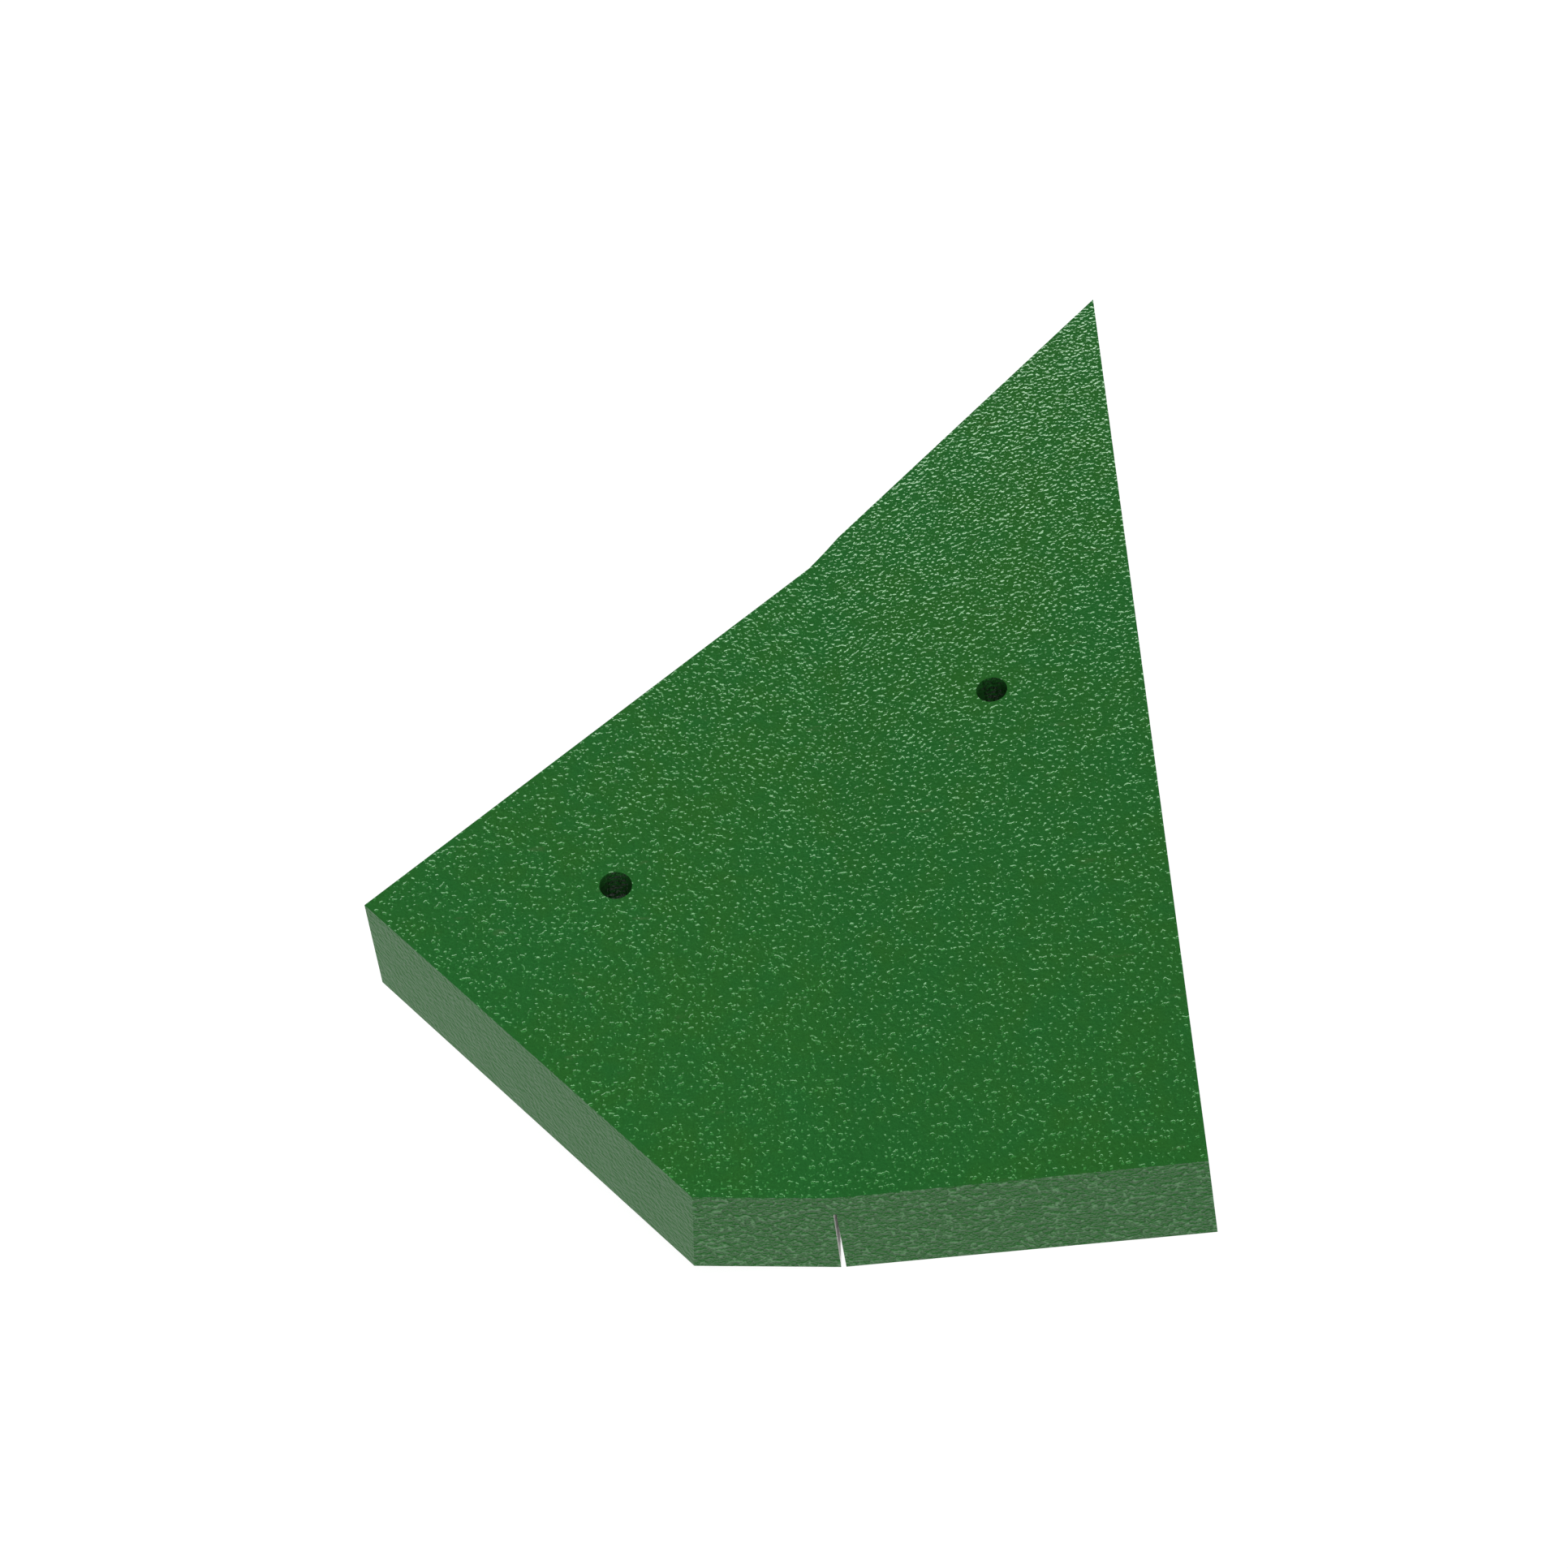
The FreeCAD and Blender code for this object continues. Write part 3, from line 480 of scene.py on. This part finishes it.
def grained_green(name, look):
    """Pebble-grained green plastic: a glossy skin on its faces, and duller sides."""
    material, recipe = new_material(name)
    place = recipe.place()
    across, along, up = recipe.split(recipe.node("ShaderNodeTexCoord", "Normal"))
    patch = recipe.noise(place, PATCH_SCALE, detail=2.0)
    uneven = (patch - 0.5) * GLOSS_SPREAD

    pebble = recipe.noise(place, 1 / look.grain, detail=1.0, roughness=0.4)
    peaks = recipe.smooth(pebble, *PEAK_BAND)
    skin = recipe.noise(place, SKIN_FINENESS / look.grain, detail=1.0)
    face = recipe.principled(
        Base_Color=face_colour(recipe, look, pebble, peaks, patch),
        Normal=recipe.bump(pebble + peaks * look.peak + skin * SKIN_HEIGHT, look.grain_height),
        Specular_Tint=tuple(look.sheen), Specular_IOR_Level=0.5, Roughness=look.gloss + uneven,
    )

    side_pebble = recipe.noise(place, 1 / look.side_grain, detail=1.5, roughness=0.5)
    # sides that face along the fold have more relief of the grain, and more painted highlight on its tops,
    # than the others
    square = recipe.smooth(abs(along), *ALONG_BAND)
    # mask of the painted highlight on the tops of the grain
    painted_crest_highlights = recipe.smooth(side_pebble, *CREST_HIGHLIGHT_BAND)
    side = recipe.principled(
        Base_Color=side_colour(recipe, look, painted_crest_highlights * (CREST_HIGHLIGHT_LEAST + square * CREST_HIGHLIGHT_MORE), across),
        Normal=recipe.bump(side_pebble * (RELIEF_LEAST + square * RELIEF_MORE), look.side_height),
        Specular_Tint=tuple(look.sheen), Specular_IOR_Level=look.edge_shine,
        Roughness=look.edge_gloss + uneven,
    )
    is_face = recipe.smooth(abs(up), *FACE_BAND)
    recipe.finish(recipe.mix_shader(is_face, side, face))
    return material


def plated_steel(name, colour, roughness):
    """Zinc-plated steel: faint spangle, rolled streaks and a few dull spots."""
    material, recipe = new_material(name)
    place = recipe.place()
    spangle = recipe.node(
        "ShaderNodeTexVoronoi", "Distance", {"feature": "F1"}, Vector=place, Scale=SPANGLE_SCALE,
    )
    streak = recipe.noise(recipe.stretch(place, STREAK_STRETCH), 1.0, detail=3.0)
    spot = recipe.noise(place, SPOT_SCALE, detail=3.0)
    dull = recipe.smooth(spot, *DULL_BAND)
    base = recipe.blend(spangle, tinted(colour, 0.82), tinted(colour, 1.08))
    base = recipe.blend(dull * 0.45, base, tinted(colour, 0.5))
    recipe.finish(recipe.principled(
        Base_Color=base,
        Metallic=1.0,
        Roughness=roughness + dull * 0.22 + (streak - 0.5) * 0.2,
        Normal=recipe.bump(streak * 0.5 + spangle * 0.5, ZINC_RELIEF),
    ))
    return material


def assign(names, material):
    """Gives a finish to carried-over parts."""
    for name in names:
        for slot in frame["nodes"][name].material_slots:
            slot.material = material


# Modelling

def alone(piece):
    """Makes a piece the only one selected, and the active one."""
    bpy.ops.object.select_all(action="DESELECT")
    piece.select_set(True)
    bpy.context.view_layer.objects.active = piece


def pick(piece, test, mode="FACE"):
    """In edit mode, selects only the faces, or the edges, that pass a test."""
    bpy.ops.mesh.select_mode(type=mode)
    bpy.ops.mesh.select_all(action="DESELECT")
    mesh = bmesh.from_edit_mesh(piece.data)
    for part in (mesh.faces if mode == "FACE" else mesh.edges):
        if test(part):
            part.select_set(True)
    bmesh.update_edit_mesh(piece.data)


def cap(height, way):
    """A test for the flat face at a height, turned up or down."""
    def test(face):
        return face.normal.z * way > 0.9 and abs(face.calc_center_median().z - height) < 0.01 * MM
    return test


def set_in_place(piece, place=None):
    """Puts a piece at its place and writes that into its mesh."""
    alone(piece)
    if place is not None:
        piece.matrix_world = place
    bpy.ops.object.transform_apply(location=True, rotation=True, scale=True)


def finish_with(piece, kind, **settings):
    """Adds a modifier and applies it."""
    alone(piece)
    modifier = piece.modifiers.new(kind.title(), kind)
    for name, value in settings.items():
        setattr(modifier, name, value)
    bpy.ops.object.modifier_apply(modifier=modifier.name)


def round_edges(piece, width):
    """Small rounded edges, and smooth shading between the sharp ones."""
    finish_with(
        piece, "BEVEL", width=width, segments=2, limit_method="ANGLE", angle_limit=CORNER,
    )
    alone(piece)
    bpy.ops.object.shade_smooth_by_angle(angle=SMOOTH_BELOW)


def stand_for(piece, node, material):
    """Fits a finished piece to the frame in place of one part."""
    piece.name = f"{node}_finished"
    piece.data.name = piece.name
    piece.data.materials.clear()
    piece.data.materials.append(material)
    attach(piece, ROOT)
    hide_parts(node)


# Pieces

def nut_thread(sizes):
    """The helical ridge inside a tee nut, round +Z."""
    radius = (sizes.root - sizes.crest) * RIDGE
    start = Vector((sizes.crest + radius, 0, -sizes.sheet / 2))
    bpy.ops.mesh.primitive_circle_add(vertices=3, radius=radius)
    ridge = bpy.context.object
    # the triangle's tip turns to the axis
    upright = Matrix(((0, -1, 0), (0, 0, -1), (1, 0, 0))).to_4x4()
    set_in_place(ridge, Matrix.Translation(start) @ upright)
    finish_with(
        ridge, "SCREW", axis="Z", angle=math.tau, screw_offset=sizes.pitch, iterations=sizes.turns,
        steps=THREAD_STEPS, render_steps=THREAD_STEPS, use_merge_vertices=False,
    )
    bpy.ops.object.mode_set(mode="EDIT")
    pick(ridge, lambda edge: edge.is_boundary, "EDGE")
    bpy.ops.mesh.fill_holes(sides=3)
    bpy.ops.mesh.select_all(action="SELECT")
    bpy.ops.mesh.normals_make_consistent(inside=False)
    bpy.ops.object.mode_set(mode="OBJECT")
    return ridge


def nut_blank(sizes):
    """Flange and barrel of a tee nut, bored through, with its seat at the origin and its barrel up."""
    bpy.ops.mesh.primitive_cylinder_add(
        vertices=FLANGE_SIDES, radius=sizes.flange, depth=sizes.sheet, location=(0, 0, -sizes.sheet / 2),
    )
    nut = bpy.context.object
    set_in_place(nut)
    bpy.ops.object.mode_set(mode="EDIT")
    pick(nut, cap(0, 1))
    bpy.ops.mesh.inset(thickness=sizes.flange - sizes.barrel)
    bpy.ops.mesh.extrude_region_move(TRANSFORM_OT_translate={"value": (0, 0, sizes.height)})
    bpy.ops.mesh.inset(thickness=sizes.barrel - sizes.root)
    bpy.ops.mesh.delete(type="FACE")
    pick(nut, cap(-sizes.sheet, -1))
    bpy.ops.mesh.inset(thickness=sizes.flange - sizes.root)
    bpy.ops.mesh.delete(type="FACE")
    pick(nut, lambda edge: edge.is_boundary, "EDGE")
    bpy.ops.mesh.bridge_edge_loops()
    bpy.ops.mesh.select_all(action="SELECT")
    bpy.ops.mesh.normals_make_consistent(inside=False)
    bpy.ops.object.mode_set(mode="OBJECT")
    for number in range(sizes.screws):
        turn = math.tau * number / sizes.screws
        spot = (sizes.screw_circle * math.cos(turn), sizes.screw_circle * math.sin(turn), 0)
        bpy.ops.mesh.primitive_cylinder_add(
            vertices=DRILL_SIDES, radius=sizes.screw_hole, depth=4 * sizes.sheet, location=spot,
        )
        drill = bpy.context.object
        finish_with(nut, "BOOLEAN", operation="DIFFERENCE", object=drill)
        bpy.data.objects.remove(drill)
    round_edges(nut, sizes.edge)
    return nut


class PANEL_OT_sheet(bpy.types.Operator):
    """Finish of the folded sheet"""
    bl_idname = "climbing_panel.sheet"
    bl_label = "Folded sheet"

    def execute(self, context):
        look = context.scene.panel_look
        assign(["face_plate"], grained_green("moulded_green", look))
        return {"FINISHED"}


class PANEL_OT_skirt(bpy.types.Operator):
    """Finish of the skirt's rails and the backing blocks"""
    bl_idname = "climbing_panel.skirt"
    bl_label = "Skirt rails and blocks"

    def execute(self, context):
        look = context.scene.panel_look
        assign(RAILS + BLOCKS, grained_green("skirt_green", look))
        return {"FINISHED"}


class PANEL_OT_tee_nuts(bpy.types.Operator):
    """Threaded tee nuts behind the two holds"""
    bl_idname = "climbing_panel.tee_nuts"
    bl_label = "Tee nuts"

    def execute(self, context):
        sizes = context.scene.nut_sizes
        material = plated_steel("tee_nut_zinc", tuple(context.scene.steel_look.zinc), 0.3)
        ridge = nut_thread(sizes)
        nut = nut_blank(sizes)
        bpy.ops.object.select_all(action="DESELECT")
        ridge.select_set(True)
        nut.select_set(True)
        context.view_layer.objects.active = nut
        bpy.ops.object.join()
        for node, mount_name, turn in (
            ("tee_nut_left", "tee_thread_left", sizes.turn_left), ("tee_nut_right", "tee_thread_right", 0.0),
        ):
            mount = MOUNTS[mount_name]
            axis = Vector(mount["axis"])
            middle = Vector(mount["pos_m"])
            seat = middle - axis * (mount["dims"]["length_mm"] / 2 * MM - sizes.sheet)
            lean = Matrix.Rotation(math.atan2(axis.x, axis.z), 4, "Y")
            copy = nut.copy()
            copy.data = nut.data.copy()
            context.collection.objects.link(copy)
            set_in_place(copy, Matrix.Translation(seat) @ lean @ Matrix.Rotation(turn, 4, "Z"))
            stand_for(copy, node, material)
        bpy.data.objects.remove(nut)
        return {"FINISHED"}


class PANEL_OT_plates(bpy.types.Operator):
    """Fold straps and mounting brackets, with rounded edges"""
    bl_idname = "climbing_panel.plates"
    bl_label = "Straps and brackets"

    def execute(self, context):
        edge = context.scene.nut_sizes.edge
        material = plated_steel("galvanised", tuple(context.scene.steel_look.zinc), 0.36)
        for node in STRAPS + BRACKETS:
            piece = frame["nodes"][node].copy()
            piece.data = piece.data.copy()
            context.collection.objects.link(piece)
            piece.parent = None
            piece.matrix_world = Matrix.Identity(4)
            alone(piece)
            bpy.ops.object.mode_set(mode="EDIT")
            bpy.ops.mesh.select_all(action="SELECT")
            bpy.ops.mesh.remove_doubles(threshold=MERGE)
            bpy.ops.mesh.dissolve_limited(angle_limit=FLAT_WITHIN)
            bpy.ops.object.mode_set(mode="OBJECT")
            round_edges(piece, edge)
            stand_for(piece, node, material)
        return {"FINISHED"}


class PANEL_OT_screws(bpy.types.Operator):
    """Finish of the screws"""
    bl_idname = "climbing_panel.screws"
    bl_label = "Screws"

    def execute(self, context):
        colour = tuple(context.scene.steel_look.passivated)
        assign(SCREWS, plated_steel("screw_zinc", colour, 0.3))
        return {"FINISHED"}


# Stage

def paint_room(world, look):
    """Light of a white room: bright walls, brightest behind the object, and a dimmer ceiling."""
    world.use_nodes = True
    recipe = Recipe(world.node_tree)
    direction = recipe.node("ShaderNodeTexCoord", "Generated")
    across, away, up = recipe.split(direction)
    behind = recipe.smooth(away, *BEHIND_BAND)
    toward = recipe.smooth(away, *TOWARD_BAND)
    walls = look.horizon + behind * look.window
    ceiling = look.dome + toward * look.front
    wall = recipe.smooth(up, *WALL_BAND)
    strength = wall * walls + (1 - wall) * ceiling
    shader = recipe.node("ShaderNodeBackground", "Background", Color=(1.0, 1.0, 1.0), Strength=strength)
    out = recipe.tree.nodes.new("ShaderNodeOutputWorld")
    recipe.tree.links.new(shader.socket, out.inputs["Surface"])


class PANEL_OT_stage(bpy.types.Operator):
    """Floor, light and camera"""
    bl_idname = "climbing_panel.stage"
    bl_label = "Stage"

    def execute(self, context):
        scene = context.scene
        look = scene.stage_look
        bpy.ops.object.select_all(action="DESELECT")
        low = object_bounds()[0]
        bpy.ops.mesh.primitive_plane_add(size=FLOOR_SIZE, location=(0, 0, low[2] - FLOOR_GAP))
        floor = context.object
        floor.name = "floor"
        material, recipe = new_material("pale_floor")
        recipe.finish(recipe.principled(
            Base_Color=tuple(look.floor), Roughness=0.9, Specular_IOR_Level=0.1,
            Emission_Color=(1.0, 1.0, 1.0), Emission_Strength=look.glow,
        ))
        floor.data.materials.append(material)
        floor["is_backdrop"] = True
        world = bpy.data.worlds.new("white_room")
        scene.world = world
        paint_room(world, look)
        lamp = bpy.data.lights.new("overhead", "SUN")
        lamp.energy = look.lamp
        lamp.angle = LAMP_WIDTH
        holder = bpy.data.objects.new("overhead", lamp)
        holder.rotation_euler = LAMP_LEAN
        scene.collection.objects.link(holder)
        lens = bpy.data.cameras.new("camera")
        lens.lens = look.lens
        lens.clip_start = CLIP_START
        lens.clip_end = CLIP_END
        camera = bpy.data.objects.new("camera", lens)
        camera.location = look.reach
        camera.rotation_euler = (math.pi / 2 - look.elevation, look.tilt, 0)
        scene.collection.objects.link(camera)
        scene.camera = camera
        scene.view_settings.view_transform = "Standard"
        return {"FINISHED"}


class PANEL_PT_sidebar(bpy.types.Panel):
    """The panel's sizes, colours and steps"""
    bl_label = "Climbing Panel"
    bl_idname = "PANEL_PT_sidebar"
    bl_space_type = "VIEW_3D"
    bl_region_type = "UI"
    bl_category = "Climbing Panel"

    def draw(self, context):
        scene = context.scene
        for group in (scene.panel_look, scene.steel_look, scene.nut_sizes, scene.stage_look):
            box = self.layout.box()
            for name in group.bl_rna.properties.keys():
                if name not in ("name", "rna_type"):
                    box.prop(group, name)
        for operator in OPERATORS:
            self.layout.operator(operator.bl_idname)


GROUPS = {
    "panel_look": PanelLook, "steel_look": SteelLook, "nut_sizes": NutSizes, "stage_look": StageLook,
}
OPERATORS = (
    PANEL_OT_sheet, PANEL_OT_skirt, PANEL_OT_tee_nuts, PANEL_OT_plates, PANEL_OT_screws, PANEL_OT_stage,
)


def register():
    for name, group in GROUPS.items():
        bpy.utils.register_class(group)
        setattr(bpy.types.Scene, name, PointerProperty(type=group))
    for item in (*OPERATORS, PANEL_PT_sidebar):
        bpy.utils.register_class(item)


def unregister():
    for item in (PANEL_PT_sidebar, *reversed(OPERATORS)):
        bpy.utils.unregister_class(item)
    for name, group in GROUPS.items():
        delattr(bpy.types.Scene, name)
        bpy.utils.unregister_class(group)


def main():
    register()
    for operator in OPERATORS:
        area, step = operator.bl_idname.split(".")
        getattr(getattr(bpy.ops, area), step)()


if __name__ == "__main__":
    main()
